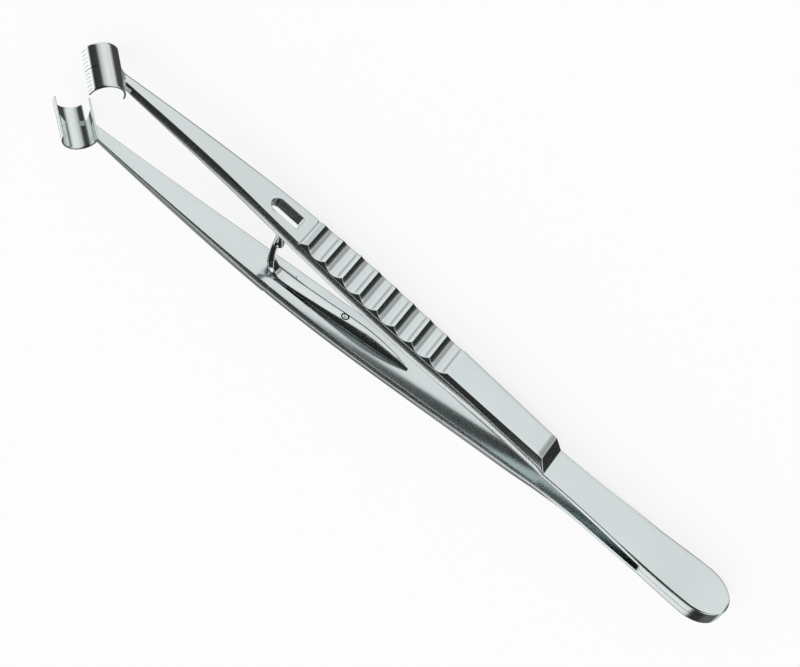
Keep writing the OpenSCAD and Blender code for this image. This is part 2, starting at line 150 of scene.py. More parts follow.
def inner_y(d):
    """The inner face, over the middle plane."""
    if d < WELD_LEN - SLIT_HALF:
        return 0.0
    if d < WELD_LEN:
        return sqrt(SLIT_HALF ** 2 - (WELD_LEN - d) ** 2)
    if d < STEP_AT:
        return SLIT_HALF + blade_slope * (d - WELD_LEN)
    return step_y + arm_slope * (d - STEP_AT) - max(d - BOW_AT, 0) ** 2 / (2 * BOW_R)


def pad_share(d, side):
    """How far an arm has grown from its blade's thickness to its pad's."""
    if side > 0:
        return min(max((d - STEP_AT) / STEP_RUN, 0), 1)
    return ease(0, 1, (d - RUN_OUT_AT) / RUN_OUT)


def groove_at(d):
    """Depth of the grooves at a place; their ridges are a little worn."""
    if not pad_end - PITCH / 2 < d < RIDGE_AT + PITCH / 2:
        return 0.0
    centre = min(max(round((RIDGE_AT - d) / PITCH - 0.5), 0), GROOVES - 1)
    off = d - (RIDGE_AT - (centre + 0.5) * PITCH)
    if abs(off) >= PITCH / 2:
        return 0.0
    return sqrt(groove_r ** 2 - off ** 2) - groove_r + GROOVE_DEPTH


def outer_y(d, side=1):
    """The outer face, before the grooves are cut."""
    if d <= WELD_LEN:
        paddle = ease(PADDLE_HALF, SLIT_HALF + BLADE_T, (d - PADDLE_RIM) / (WELD_LEN - PADDLE_RIM))
        rim = max(PADDLE_RIM - d, 0)
        return paddle - PADDLE_RIM + sqrt(PADDLE_RIM ** 2 - min(rim, PADDLE_RIM) ** 2)
    if d <= RIDGE_AT:
        return inner_y(d) + mix(BLADE_T, PAD_T, pad_share(d, side))
    scribed = SCRIBE_DEPTH * max(1 - ((d - ramp_end) / SCRIBE_HALF) ** 2, 0)
    if d < ramp_end:
        return inner_y(d) + mix(PAD_T, NOSE_T, (d - RIDGE_AT) / RAMP_SEEN) - scribed
    return inner_y(d) + (NOSE_T if d < nose_at else curve(THINS, d)) - scribed


def arm_width(d):
    if d < PADDLE_ROUND:
        return PADDLE_W * sqrt(max(1 - (1 - d / PADDLE_ROUND) ** 2, 0))
    return curve(WIDTHS, d)


def corner(before, at, after, reach, count):
    """Points of a rounded corner: a short parabola that leaves each side at reach from the corner."""
    a, c, b = Vector(before), Vector(at), Vector(after)
    start = c + (a - c).normalized() * min(reach, (a - c).length * 0.45)
    end = c + (b - c).normalized() * min(reach, (b - c).length * 0.45)
    made = []
    for i in range(count):
        u = i / (count - 1)
        made.append((1 - u) ** 2 * start + 2 * u * (1 - u) * c + u * u * end)
    return made


def arm_half(d, side=1):
    """Half the cross-section of an arm at d, as (across, up) points from the inner face to the top."""
    w, low = arm_width(d) / 2, inner_y(d)
    top = outer_y(d, side)
    cut_top = top - groove_at(d)
    inwards = BEVEL_IN if side > 0 else CATCH_BEVEL_IN
    grown = pad_share(d, side)
    if d <= RIDGE_AT:
        bevel_h = mix(BEVEL_REAR, BEVEL_H, (d - STEP_AT) / BEVEL_GROWS) if side > 0 else BEVEL_H
        plain = mix(PADDLE_BEVEL, BLADE_BEVEL, (d - WELD_LEN) / BEVEL_FADE)
        plain = min(plain, (top - low) * 0.6, w * 0.5)
        high, wide = mix(plain, bevel_h, grown), mix(plain, inwards, grown)
    elif d < nose_at:
        u = (d - RIDGE_AT) / RAMP_RUN
        high, wide = mix(BEVEL_H, EDGE_ROUND, u), mix(inwards, EDGE_ROUND, u)
    else:
        share = (d - nose_at) / (DOME_FULL * nose_len)
        high, wide = mix(EDGE_ROUND, DOME_H, share), mix(EDGE_ROUND, DOME_IN, share)
    tall = top - high - low
    lean = eased(SLOTTED_LEANS if side > 0 else CATCH_LEANS, d)
    crown = WALL_CROWN * ease(0, 1, (d - CROWN_AT) / CROWN_RUN)
    wall = []
    for i in range(WALL_POINTS):
        u = i / (WALL_POINTS - 1)
        if side > 0:
            back = tall * (lean * u + crown * (2 * u - 1) ** 2)
        else:
            turned = grown * CATCH_TURN * max(u - CATCH_TURN_AT, 0)
            back = tall * (lean * (1 - u) + crown * min(2 * u - 1, 0) ** 2 + turned)
        wall.append((w - back, low + tall * u))
    rim = wall[-1]
    keep = (cut_top - rim[1]) / high
    shelf = (rim[0] - wide * keep, cut_top)
    inner_soft = EDGE_ROUND if d > WELD_LEN - SLIT_HALF else 0.002
    points = corner((0, low), wall[0], wall[1], inner_soft, CORNER_POINTS)
    points += [Vector(p) for p in wall[1:-1]]
    straight = corner(wall[-2], rim, shelf, EDGE_FINE, CORNER_POINTS)
    straight += corner(rim, shelf, (0, cut_top), EDGE_FINE, CORNER_POINTS)
    count = 2 * CORNER_POINTS
    domed = [Vector((rim[0] - wide * (1 - cos(pi / 2 * i / (count - 1))),
                     rim[1] + high * sin(pi / 2 * i / (count - 1)))) for i in range(count)]
    dome = 1 - grown if d <= RIDGE_AT else mix(0, 1, (d - RIDGE_AT) / RAMP_RUN)
    points += [a.lerp(b, dome) for a, b in zip(straight, domed)]
    last = points[-1]
    return points + [Vector((last.x * (1 - i / 4), last.y)) for i in range(1, 4)]


def mirrored_ring(half, low):
    """A closed ring from its right half: the middle of the inner face, right side, top, left side."""
    top = Vector((0, half[-1].y))
    left = [Vector((-p.x, p.y)) for p in reversed(half)]
    return [Vector((0, low))] + half + [top] + left


def loft(bm, rings):
    """A closed skin through rings of points, all with the same count."""
    rows = [[bm.verts.new(p * MM) for p in ring] for ring in rings]
    n = len(rows[0])
    for a, b in zip(rows, rows[1:]):
        for j in range(n):
            k = (j + 1) % n
            bm.faces.new((a[j], a[k], b[k], b[j]))
    bm.faces.new(list(reversed(rows[0])))
    bm.faces.new(rows[-1])


def object_from(name, bm):
    """An object that takes a bmesh for its mesh, with its faces turned outwards."""
    bmesh.ops.recalc_face_normals(bm, faces=bm.faces)
    mesh = bpy.data.meshes.new(name)
    bm.to_mesh(mesh)
    bm.free()
    made = bpy.data.objects.new(name, mesh)
    bpy.context.scene.collection.objects.link(made)
    return made


def resharpen(piece, sharp=38):
    """Smooth faces, and crisp edges wherever the surface turns by more than sharp degrees."""
    piece.data.shade_smooth()
    piece.data.set_sharp_from_angle(angle=radians(sharp))


def finish_mesh(name, bm, finish, sharp=38):
    """A piece of the forceps in its finish."""
    piece = object_from(name, bm)
    resharpen(piece, sharp)
    piece.data.materials.append(finish)
    return piece


def apply_modifiers(piece):
    """Makes a piece's modifiers part of its mesh."""
    graph = bpy.context.evaluated_depsgraph_get()
    made = bpy.data.meshes.new_from_object(piece.evaluated_get(graph))
    piece.modifiers.clear()
    piece.data = made


def cut(piece, tool, how="DIFFERENCE"):
    """Cuts a tool's shape out of a piece, or joins it on, and removes the tool."""
    step = piece.modifiers.new("cut", "BOOLEAN")
    step.object, step.operation, step.solver = tool, how, "EXACT"
    apply_modifiers(piece)
    bpy.data.objects.remove(tool)


# Colours and shaders
def paint(code):
    """Linear colour from an sRGB hex value."""
    parts = [int(code[i:i + 2], 16) / 255 for i in (1, 3, 5)]
    return [c / 12.92 if c <= 0.04045 else ((c + 0.055) / 1.055) ** 2.4 for c in parts] + [1.0]


def shader_node(tree, kind, settings=None, **links):
    """Adds a node, sets its fields and sockets, and links sockets that are given as outputs."""
    made = tree.nodes.new(kind)
    for key, value in (settings or {}).items():
        if isinstance(key, str) and hasattr(made, key):
            setattr(made, key, value)
        else:
            made.inputs[key].default_value = value
    for key, source in links.items():
        target = made.inputs[int(key[1:])] if key[0] == "i" and key[1:].isdigit() else made.inputs[key]
        tree.links.new(source, target)
    return made


def new_material(name):
    made = bpy.data.materials.new(name)
    made.use_nodes = True
    made.node_tree.nodes.clear()
    return made, made.node_tree


# Size of the clouds of tone, how far the grain moves the roughness either way, and its share of relief
CLOUD_MM, ROUGH_LOW, ROUGH_HIGH, RELIEF = 9.0, 0.75, 1.3, 0.12


def steel_finish(name, tone, rough, grain_mm, grain_length_mm, depth_mm, spin=0.35, marks=None):
    """Stainless steel, finished by machine: a fine directional grain under a soft shine.
    The grain runs along X, so its noise is stretched that way, and it's drawn coarse enough to show.
    Under it the tone drifts between two greys in soft clouds, as hand-finished steel does."""
    made, tree = new_material(name)
    spot = shader_node(tree, "ShaderNodeTexCoord").outputs["Object"]
    stretch = (1000 / grain_length_mm, 1000 / grain_mm, 1000 / grain_mm)
    lines = shader_node(tree, "ShaderNodeMapping", {"Scale": stretch}, Vector=spot)
    grain = shader_node(tree, "ShaderNodeTexNoise", {"Scale": 1.0, "Detail": 3.0, "Roughness": 0.6},
                        Vector=lines.outputs["Vector"])
    cloud = shader_node(tree, "ShaderNodeTexNoise", {"Scale": 1000 / CLOUD_MM, "Detail": 4.0},
                        Vector=spot)
    rough_range = shader_node(tree, "ShaderNodeMapRange",
                              {"To Min": rough * ROUGH_LOW, "To Max": rough * ROUGH_HIGH},
                              Value=grain.outputs["Fac"])
    tone_range = shader_node(tree, "ShaderNodeMixRGB",
                             {"Color1": paint(tone[0]), "Color2": paint(tone[1])},
                             Fac=cloud.outputs["Fac"])
    colour = tone_range.outputs["Color"]
    if marks:
        colour = marks(tree, spot, colour)
    relief = shader_node(tree, "ShaderNodeBump", {"Strength": RELIEF, "Distance": depth_mm * MM},
                         Height=grain.outputs["Fac"])
    metal = shader_node(tree, "ShaderNodeBsdfPrincipled",
                        {"Metallic": 1.0, "Anisotropic": spin},
                        Normal=relief.outputs["Normal"], Roughness=rough_range.outputs["Result"])
    tree.links.new(colour, metal.inputs["Base Color"])
    shader_node(tree, "ShaderNodeOutputMaterial", Surface=metal.outputs["BSDF"])
    return made


# The jaw's graduation marks, in millimetres
MARK_PITCH, MARK_WIDE, MARK_LONG, MIDDLE_LONG, MARK_START = 0.85, 0.16, 1.5, 2.9, 0.25
# Each row: the result's name, a sum, and its terms, which are numbers or the names of earlier results
MARK_SUMS = [("x", "MULTIPLY", "X", 1000), ("y", "MULTIPLY", "Y", 1000),
             ("step", "MULTIPLY", "Z", 1000 / MARK_PITCH), ("whole", "ROUND", "step", 0),
             ("off", "SUBTRACT", "step", "whole"), ("off", "ABSOLUTE", "off", 0),
             ("line", "LESS_THAN", "off", MARK_WIDE / MARK_PITCH / 2),
             ("centre", "ABSOLUTE", "step", 0), ("centre", "LESS_THAN", "centre", 0.3),
             ("reach", "MULTIPLY_ADD", "centre", MIDDLE_LONG - MARK_LONG, MARK_LONG),
             ("low", "LESS_THAN", "y", "reach"), ("high", "GREATER_THAN", "y", MARK_START),
             ("front", "LESS_THAN", "x", 0), ("line", "MULTIPLY", "line", "low"),
             ("line", "MULTIPLY", "line", "high"), ("line", "MULTIPLY", "line", "front"),
             ("weight", "MULTIPLY_ADD", "centre", 0.3, 0.6), ("line", "MULTIPLY", "line", "weight")]


def graduations(tree, spot, colour):
    """Fine engraved lines across the jaw's flank, beside its forward edge; the middle one is longer."""
    axes = shader_node(tree, "ShaderNodeSeparateXYZ", None, Vector=spot)
    found = {k: axes.outputs[k] for k in "XYZ"}
    for name, operation, *terms in MARK_SUMS:
        fixed = {i: v for i, v in enumerate(terms) if not isinstance(v, str)}
        links = {f"i{i}": found[v] for i, v in enumerate(terms) if isinstance(v, str)}
        made = shader_node(tree, "ShaderNodeMath", {"operation": operation, **fixed}, **links)
        found[name] = made.outputs[0]
    return shader_node(tree, "ShaderNodeMixRGB", {"Color2": paint("#20282A")}, Fac=found["line"],
                       Color1=colour).outputs["Color"]


# Satin stainless steel of the arms: cool grey, bead-blasted and rubbed, so highlights stay soft
satin_steel = steel_finish("satin_stainless_steel", ("#DBE3E3", "#E6ECEC"), rough=0.17,
                           grain_mm=0.25, grain_length_mm=14.0, depth_mm=0.002)
# Bright spring steel of the catch: the same grey, polished by hand, so its highlights are crisper
spring_steel = steel_finish("bright_spring_steel", ("#DCE2E1", "#E6EBEA"), rough=0.1,
                            grain_mm=0.2, grain_length_mm=3.0, depth_mm=0.002)
# Polished stainless steel of the jaws: bands of light and dark with sharp limits, and fine dark marks
jaw_steel = steel_finish("polished_stainless_steel", ("#DEE4E3", "#E8EDEC"), rough=0.09,
                         grain_mm=0.2, grain_length_mm=2.0, depth_mm=0.002, marks=graduations)
# Silver braze at the tips: paler and softer than the steel, so it catches light all round
braze_silver = steel_finish("soft_silver_braze", ("#E2E6E4", "#ECEEEC"), rough=0.42,
                            grain_mm=0.3, grain_length_mm=0.3, depth_mm=0.002, spin=0.0)
# Seam round the rivet's head: a dull, almost black material, the painted shade of the narrow gap round the
# head
rivet_gap_shade_paint = steel_finish("rivet_gap_painted_shade", ("#141819", "#1E2324"), rough=0.6,
                          grain_mm=0.1, grain_length_mm=0.1, depth_mm=0.002, spin=0.0)


# Arms, with sections this near the step's edges, so that they stay crisp
STEP_NEAR = 0.12


def stations():
    """Places of the arm's cross-sections: close together wherever the shape turns quickly."""
    out = [PADDLE_ROUND * (1 - cos(radians(8 + 82 * i / 26))) for i in range(27)]
    out += [mix(PADDLE_ROUND, WELD_LEN - SLIT_HALF, i / 8) for i in range(1, 8)]
    out += [WELD_LEN - SLIT_HALF * cos(pi / 2 * i / 8) for i in range(9)]
    out += [mix(WELD_LEN, STEP_AT, i / 24) for i in range(1, 25)]
    out += [STEP_AT + STEP_NEAR]
    out += [mix(STEP_AT, STEP_AT + STEP_RUN, i / 4) for i in range(1, 4)]
    out += [STEP_AT + STEP_RUN - STEP_NEAR, STEP_AT + STEP_RUN + STEP_NEAR]
    out += [mix(STEP_AT + STEP_RUN, pad_end, i / 16) for i in range(1, 16)] + [pad_end - 0.1]
    for g in range(GROOVES):
        out += [pad_end + (g + (1 - cos(pi * i / 16)) / 2) * PITCH for i in range(16)]
    out += [RIDGE_AT, RIDGE_AT + 0.15]
    out += [mix(RIDGE_AT + 0.15, ramp_end - SCRIBE_HALF, i / 4) for i in range(1, 4)]
    out += [ramp_end + SCRIBE_HALF * i / 4 for i in range(-4, 5)] + [nose_at]
    out += [mix(nose_at, tip_d, i / 60) for i in range(1, 61)]
    return out


def place(d, y, z):
    """A point in the row's frame, from a distance, a height off the middle plane and a place across."""
    return Vector((REAR_X - d, y, MID_Z + z))


def jaw_matrix(side):
    """Places a jaw that is drawn about Z with its open side towards -Y; side is 1 or -1."""
    turn = Matrix.Rotation(-close, 4, "Z") @ Matrix.Rotation(pi / 2 - cant, 4, "Y")
    move = Matrix.Translation(Vector((jaw_x, jaw_y, MID_Z + JAW_UP)) * MM)
    return Matrix.Diagonal((1, side, 1, 1)) @ move @ turn


def jaw_bore(side):
    """The jaw's own cylinder, halfway into its wall, that the arm's tip is fitted to."""
    bm = bmesh.new()
    r = (JAW_R - JAW_WALL / 2) * MM
    bmesh.ops.create_cone(bm, cap_ends=True, segments=128, radius1=r, radius2=r, depth=2 * JAW_LEN * MM)
    bmesh.ops.transform(bm, matrix=jaw_matrix(side), verts=bm.verts)
    return object_from("bore", bm)


def oblong(length, width, round_r, grow):
    """Outline of a slot from x = 0 forwards: round front end, small rear corners, as (x, z) points."""
    w, r = width / 2 + grow, round_r + grow
    pts = []
    for i in range(25):
        a = -pi / 2 + pi * i / 24
        pts.append((length - width / 2 + w * cos(a), w * sin(a)))
    for centre, start in (((round_r, w - r), pi / 2), ((round_r, r - w), pi)):
        for i in range(9):
            a = start + pi / 2 * i / 8
            pts.append((centre[0] + r * cos(a), centre[1] + r * sin(a)))
    return pts


def slot_levels():
    """Heights of the slot's cutter, with how much it is wider there: a rounded lip at both faces."""
    def lift(face, over):
        return lambda d: face(d) + over
    lip = [(1 - cos(radians(a))) * LIP for a in (90, 60, 30, 0)]
    rise = [sin(radians(a)) * LIP for a in (90, 60, 30, 0)]
    made = [(lift(inner_y, -1.0), LIP - DRAFT), (lift(inner_y, 0), LIP - DRAFT)]
    made += [(lift(inner_y, LIP - s), g - DRAFT) for s, g in zip(rise[1:], lip[1:])]
    made += [(lift(inner_y, 1.8 * LIP), -0.9 * DRAFT), (lift(outer_y, -1.8 * LIP), 0.9 * DRAFT)]
    made += [(lift(outer_y, s - LIP), g + DRAFT) for s, g in zip(reversed(rise[1:]), reversed(lip[1:]))]
    made += [(lift(outer_y, 0), LIP + DRAFT), (lift(outer_y, 1.0), LIP + DRAFT)]
    return made


def slot_tool():
    """Cutter for the slot that the nub snaps through."""
    rings = []
    for height, grow in slot_levels():
        outline = oblong(SLOT_LEN, SLOT_W, SLOT_CORNER, grow)
        rings.append([place(SLOT_AT + x, height(SLOT_AT + x), z) for x, z in outline])
    bm = bmesh.new()
    loft(bm, rings)
    return object_from("slot", bm)


def recess_tool():
    """Cutter for the finger recess: a ramp that deepens forwards, with a rounded lip and foot."""
    front = FLEX_AT + RECESS_FRONT
    back = front - RECESS_LEN

    def sunk(share):
        def height(d):
            deep = RECESS_DEPTH * min(max((d - back) / (FLEX_AT - back), 0), 1)
            return inner_y(d) - 0.03 + (deep + 0.02) * share
        return height
    # Each level: share of the depth, height, growth; wide at the lip, drawn in at the floor
    levels = [(0.0, lambda d: inner_y(d) - 1.0, 0.1), (0.0, sunk(0.0), 0.1), (0.1, sunk(0.1), 0.03),
              (0.25, sunk(0.25), 0.0), (0.75, sunk(0.75), 0.0), (0.93, sunk(0.93), -0.08),
              (1.0, sunk(1.0), -0.3)]
    rings = []
    for share, height, grow in levels:
        ring = []
        for x, z in oblong(RECESS_LEN, RECESS_W, RECESS_CORNER, grow):
            round_end = max(x - RECESS_LEN + RECESS_W / 2, 0) / (RECESS_W / 2)
            d = back + (x - RECESS_SLOPE * share * round_end)
            ring.append(place(d, -height(d), z))
        rings.append(ring)
    bm = bmesh.new()
    loft(bm, rings)
    return object_from("recess", bm)


def arm(name, side):
    """One arm from its half of the welded paddle to the jaw; side is 1 for the slotted arm, else -1."""
    bm = bmesh.new()
    rings = []
    for d in stations():
        ring = mirrored_ring(arm_half(d, side), inner_y(d))
        rings.append([place(d, side * p.y, p.x) for p in ring])
    loft(bm, rings)
    piece = finish_mesh(name, bm, satin_steel)
    cut(piece, jaw_bore(side))
    return piece


slotted = arm("slotted_side_arm", 1)
cut(slotted, slot_tool())
resharpen(slotted)
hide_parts("slotted_arm", "spring_end")

catching = arm("catch_side_arm", -1)
cut(catching, recess_tool())
resharpen(catching)
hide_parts("catch_arm")


# Jaws, with their rims rounded by JAW_RIM
JAW_RIM = 0.09


def jaw(name, side):
    """A half-tube of thin wall with softened rims, drawn in its own frame about Z."""
    around, along = 64, 24
    outer = [(JAW_R * cos(pi * i / around), JAW_R * sin(pi * i / around)) for i in range(around + 1)]
    r = JAW_R - JAW_WALL
    inner = [(r * cos(pi * i / around), r * sin(pi * i / around)) for i in range(around, -1, -1)]
    heights = [JAW_LEN * (k / along - 0.5) for k in range(along + 1)]
    bm = bmesh.new()
    loft(bm, [[Vector((x, y, z)) for x, y in outer + inner] for z in heights])
    piece = finish_mesh(name, bm, jaw_steel)
    soft = piece.modifiers.new("rims", "BEVEL")
    soft.width, soft.segments, soft.limit_method = JAW_RIM * MM, 3, "ANGLE"
    soft.angle_limit = radians(50)
    apply_modifiers(piece)
    piece.matrix_world = jaw_matrix(side)
    if side < 0:
        piece.data.flip_normals()
    resharpen(piece)
    return piece


slotted_cup = jaw("slotted_side_jaw", 1)
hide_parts("slotted_jaw")
catch_cup = jaw("catch_side_jaw", -1)
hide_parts("catch_jaw")


# Braze: how far it reaches back along the tip, how far it flares over the jaw, how deep it lies in
# both, and how near it comes to the jaw's edge
BRAZE_REACH, BRAZE_FLARE, BRAZE_SINK, BRAZE_EDGE = 1.3, 1.5, 0.05, 0.15
# Its rays start BRAZE_FROM behind the tip, from the tip's outline BRAZE_OUTLINE behind it
BRAZE_FROM, BRAZE_OUTLINE, BRAZE_RINGS = 4.5, 2.2, 13


def braze(name, side):
    """The fillet of brazing metal where an arm's tip meets its jaw: a flared collar round the tip."""
    into = jaw_matrix(1).inverted()

    def over(p, x):
        """How far a point moved to x is outside the jaw's skin."""
        local = into @ (Vector((x, p.y, p.z)) * MM)
        return hypot(local.x, local.y) / MM - JAW_R + BRAZE_SINK

    def to_jaw(p):
        """Moves a point forwards until it lies just under the jaw's outer surface."""
        inside = p.x
        while over(p, inside) > 0 and p.x - inside < 9:
            inside -= 0.2
        outside = inside + 0.2
        for _ in range(16):
            half = (outside + inside) / 2
            outside, inside = (half, inside) if over(p, half) > 0 else (outside, half)
        return Vector((inside, p.y, p.z))

    def section(d):
        return mirrored_ring(arm_half(d, side), inner_y(d))
    outline = section(tip_d - BRAZE_OUTLINE)
    middle = Vector((0, sum(p.y for p in outline) / len(outline)))
    rings = [[] for _ in range(BRAZE_RINGS)]
    for k, p in enumerate(outline):
        out = (p - middle).normalized()
        sink = p - out * BRAZE_SINK
        contact = to_jaw(place(tip_d - BRAZE_FROM, sink.y, sink.x))
        begin = REAR_X - contact.x - BRAZE_REACH
        skin = section(begin)[k]
        root = skin - (skin - middle).normalized() * BRAZE_SINK
        start = place(begin, root.y, root.x)
        flare = BRAZE_FLARE * mix(0.2, 1.0, out.y)
        foot = contact
        while flare > 0:
            flared = p + out * flare
            foot = to_jaw(place(tip_d - BRAZE_FROM, flared.y, flared.x))
            if (into @ (foot * MM)).y > BRAZE_EDGE * MM:
                break
            flare -= 0.04
        for i, ring in enumerate(rings):
            u = i / (len(rings) - 1)
            q = (1 - u) ** 2 * start + 2 * u * (1 - u) * contact + u * u * foot
            ring.append(Vector((q.x, side * q.y, q.z)))
    bm = bmesh.new()
    loft(bm, rings)
    return finish_mesh(name, bm, braze_silver, 70)


slotted_braze = braze("slotted_side_braze", 1)
catch_braze = braze("catch_side_braze", -1)

# Catch
hook_y = inner_y(FLEX_AT)
hook_lean = atan(arm_slope - max(FLEX_AT - BOW_AT, 0) / BOW_R)
slot_gap = inner_y(SLOT_AT) - (SLOT_AT - bend_d) * tan(close)
nub_low = 2 * slot_gap + (outer_y(SLOT_AT) - inner_y(SLOT_AT)) + LOCK_CLEAR
nub_x = (SLOT_AT + NUB_CLEAR - FLEX_AT - nub_low * sin(hook_lean)) / cos(hook_lean)
nub_high = nub_low + NUB_FACE
neck_top = nub_high + NUB_SLANT
strip_mid = SEAT_GAP + STRIP_T / 2
neck_slope = tan(radians(NECK_LEAN))
neck_x = nub_x + NUB_REACH + NECK_T / 2 + (neck_top - nub_low) * neck_slope / 2
# How high the bend ends as a share of the neck, and how much neck and nub narrow towards their backs
BEND_SHARE, NECK_TAPER, NUB_TAPER = 0.27, 1.2, 0.3
bend_end = Vector((neck_x - (1 - BEND_SHARE) * neck_top * neck_slope, BEND_SHARE * neck_top))
NECK_LINE = [Vector((BEND_AT, strip_mid)), Vector((BEND_AT + BEND_REACH, strip_mid)), bend_end,
             Vector((neck_x, neck_top))]


def on_catch(x, y, z):
    """A point of the catch: x forwards along the arm's face from the flexing place, y off the face."""
    c, s = cos(hook_lean), sin(hook_lean)
    return Vector((REAR_X - FLEX_AT - x * c - y * s, -hook_y - x * s + y * c, MID_Z + z))


def neck_at(u):
    """A point on the neck's middle line and the direction across it, for u from its foot to its top."""
    a, b, c, d = NECK_LINE
    v = 1 - u
    here = v ** 3 * a + 3 * u * v * v * b + 3 * u * u * v * c + u ** 3 * d
    way = 3 * v * v * (b - a) + 6 * u * v * (c - b) + 3 * u * u * (d - c)
    way.normalize()
    return here, Vector((-way.y, way.x))


# The bar in front of and behind its keel: height, width at the foot, width of the back
neck_in, fall_at, strip_end = KEEL_END + 4, RIVET_AT + 5, FLEX_AT - 2
KEEL_HEIGHTS = [(KEEL_END, KEEL_END_H), (neck_in, 0.68 * KEEL_H), (KEEL_AT, KEEL_H),
                (fall_at, 0.57 * KEEL_H), (strip_end, 1.18 * STRIP_T), (FLEX_AT, STRIP_T)]
FOOT_WIDTHS = [(KEEL_END, 0.2), (neck_in, 0.62 * FOOT_W), (KEEL_AT, FOOT_W),
               (fall_at, mix(FOOT_W, STRIP_W, 0.8)), (FLEX_AT, STRIP_W)]
BACK_WIDTHS = [(KEEL_END, 0.1), (neck_in, 0.6 * KEEL_W), (KEEL_AT, KEEL_W),
               (fall_at, mix(KEEL_W, STRIP_W, 0.6)), (FLEX_AT, STRIP_W)]


def bar_side(half, top, h, soft, ledge, chamfer):
    """One side of the bar's section, from the middle of its foot round to the middle of its back."""
    rim = min(0.16, h * 0.3)
    knots = [(0, 0), (half, 0), (half, rim), (half - ledge, rim + 0.02), (top, h - chamfer * 0.55),
             (top - chamfer, h), (0, h)]
    made = []
    for before, at, after in zip(knots, knots[1:], knots[2:]):
        made += corner(before, at, after, soft, 4)
    return made


def bar_ring(w, h, back):
    """Section of the catch: w wide at its foot and back wide above, h high, with a thin ledge round
    its foot, a fine near edge and a broad chamfer on the far one."""
    half, top = w / 2, back / 2
    ledge = max(min(0.24, (half - top) * 0.6), 0.01)
    soft = min(0.06, back / 6, h / 5)
    near = bar_side(half, top, h, soft, ledge, min(0.14, top * 0.4))
    far = bar_side(half, top, h, soft, ledge, min(0.42, top * 0.5))
    return [Vector((0, 0))] + near + [Vector((0, h))] + [Vector((-p.x, p.y)) for p in reversed(far)]


def catch_strip():
    """The catch from its pointed rear along its back, strip and bend to the top of its neck."""
    rings = []
    for i in range(61):
        d = KEEL_END + (FLEX_AT - 0.4 - KEEL_END) * i / 60
        w, h, back = curve(FOOT_WIDTHS, d), curve(KEEL_HEIGHTS, d), curve(BACK_WIDTHS, d)
        low = SEAT_GAP - inner_y(d)
        ring = bar_ring(w, h, back)
        rings.append([place(d, low + p.y, p.x) for p in ring])
    strip = bar_ring(STRIP_W, STRIP_T, STRIP_W)
    for i in range(5):
        rings.append([on_catch(BEND_AT * i / 4, SEAT_GAP + p.y, p.x) for p in strip])
    for i in range(1, 41):
        u = i / 40
        here, out = neck_at(u)
        # The neck swells out of the strip at its bend, and thins again towards its top
        t = mix(mix(STRIP_T, NECK_FULL, u * 2.4), NECK_T, (u - 0.6) / 0.4)
        w = ease(STRIP_W, NECK_W, (here.y - 2 * STRIP_T) / (3 * STRIP_T))
        ring = bar_ring(w, t, w - NECK_TAPER * min(2 * u, 1))
        rings.append([on_catch(here.x + out.x * (q.y - t / 2), here.y + out.y * (q.y - t / 2), q.x)
                      for q in ring])
    return rings


def nub_rings():
    """The nub: a round-nosed lug that looks rearwards from the neck, slanted away above."""
    rings = []
    count, soft = 22, 0.3
    for i in range(count + 1):
        y = mix(nub_low, neck_top - 0.12, i / count)
        slant = max(y - nub_high, 0) / NUB_SLANT
        back = mix(nub_x, neck_x - NECK_T / 2, slant)
        under = max(soft - (y - nub_low), 0)
        tuck = soft - sqrt(max(soft ** 2 - under ** 2, 0))
        back += tuck
        front = nub_x + NUB_REACH + NECK_T * 0.35 + (y - nub_low) * neck_slope
        half = NECK_W / 2 - 0.02 - tuck * 0.6
        reach = min(half * 0.85, max(front - back, 0.1) * 0.8)
        ring = []
        for k in range(17):
            a = -pi / 2 + pi * k / 16
            ring.append((back + reach - reach * cos(a), (half - NUB_TAPER) * sin(a)))
        ring += [(front, half), (front, -half)]
        rings.append([on_catch(x, y, z) for x, z in ring])
    return rings


def catch():
    """The whole catch in one piece: its bar, strip and neck, with the nub joined on."""
    bm = bmesh.new()
    loft(bm, catch_strip())
    piece = finish_mesh("spring_catch", bm, spring_steel)
    lug = bmesh.new()
    loft(lug, nub_rings())
    cut(piece, object_from("lug", lug), "UNION")
    resharpen(piece, 42)
    return piece


# The rivet's head: a bright turned button in a ring of painted shade, flush with the catch's back
BUTTON_R, RING_R, RING_DEEP, RIVET_FOOT = 0.6, 0.86, 0.07, 1.2
rivet_high = curve(KEEL_HEIGHTS, RIVET_AT)
back_rise = (curve(KEEL_HEIGHTS, RIVET_AT + 0.2) - curve(KEEL_HEIGHTS, RIVET_AT - 0.2)) / 0.4
rivet_turn = Matrix.Rotation(atan(arm_slope - back_rise), 4, "Z") @ Matrix.Rotation(-pi / 2, 4, "X")
rivet_place = Matrix.Translation(place(RIVET_AT, rivet_high - inner_y(RIVET_AT), 0) * MM) @ rivet_turn


def turned_piece(bm, outline, dark=()):
    """A turned shape about the rivet's axis, from (radius, height) points; dark lists the bands of its seam
    that take the painted shade of the gap.
    """
    around = 48
    rows = []
    for r, h in outline:
        row = [Vector((r * cos(2 * pi * k / around), r * sin(2 * pi * k / around), h)) for k in range(around)]
        rows.append([bm.verts.new(rivet_place @ (p * MM)) for p in row])
    for i, (a, b) in enumerate(zip(rows, rows[1:])):
        for k in range(around):
            m = (k + 1) % around
            face = bm.faces.new((a[k], a[m], b[m], b[k]))
            face.material_index = 1 if i in dark else 0
    bm.faces.new(list(reversed(rows[0])))
    bm.faces.new(rows[-1])


hook = catch()
pocket = bmesh.new()
turned_piece(pocket, [(RING_R, 0.6), (RING_R, -0.3)])
cut(hook, object_from("pocket", pocket))
resharpen(hook, 42)
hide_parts("catch_base", "catch_hook")

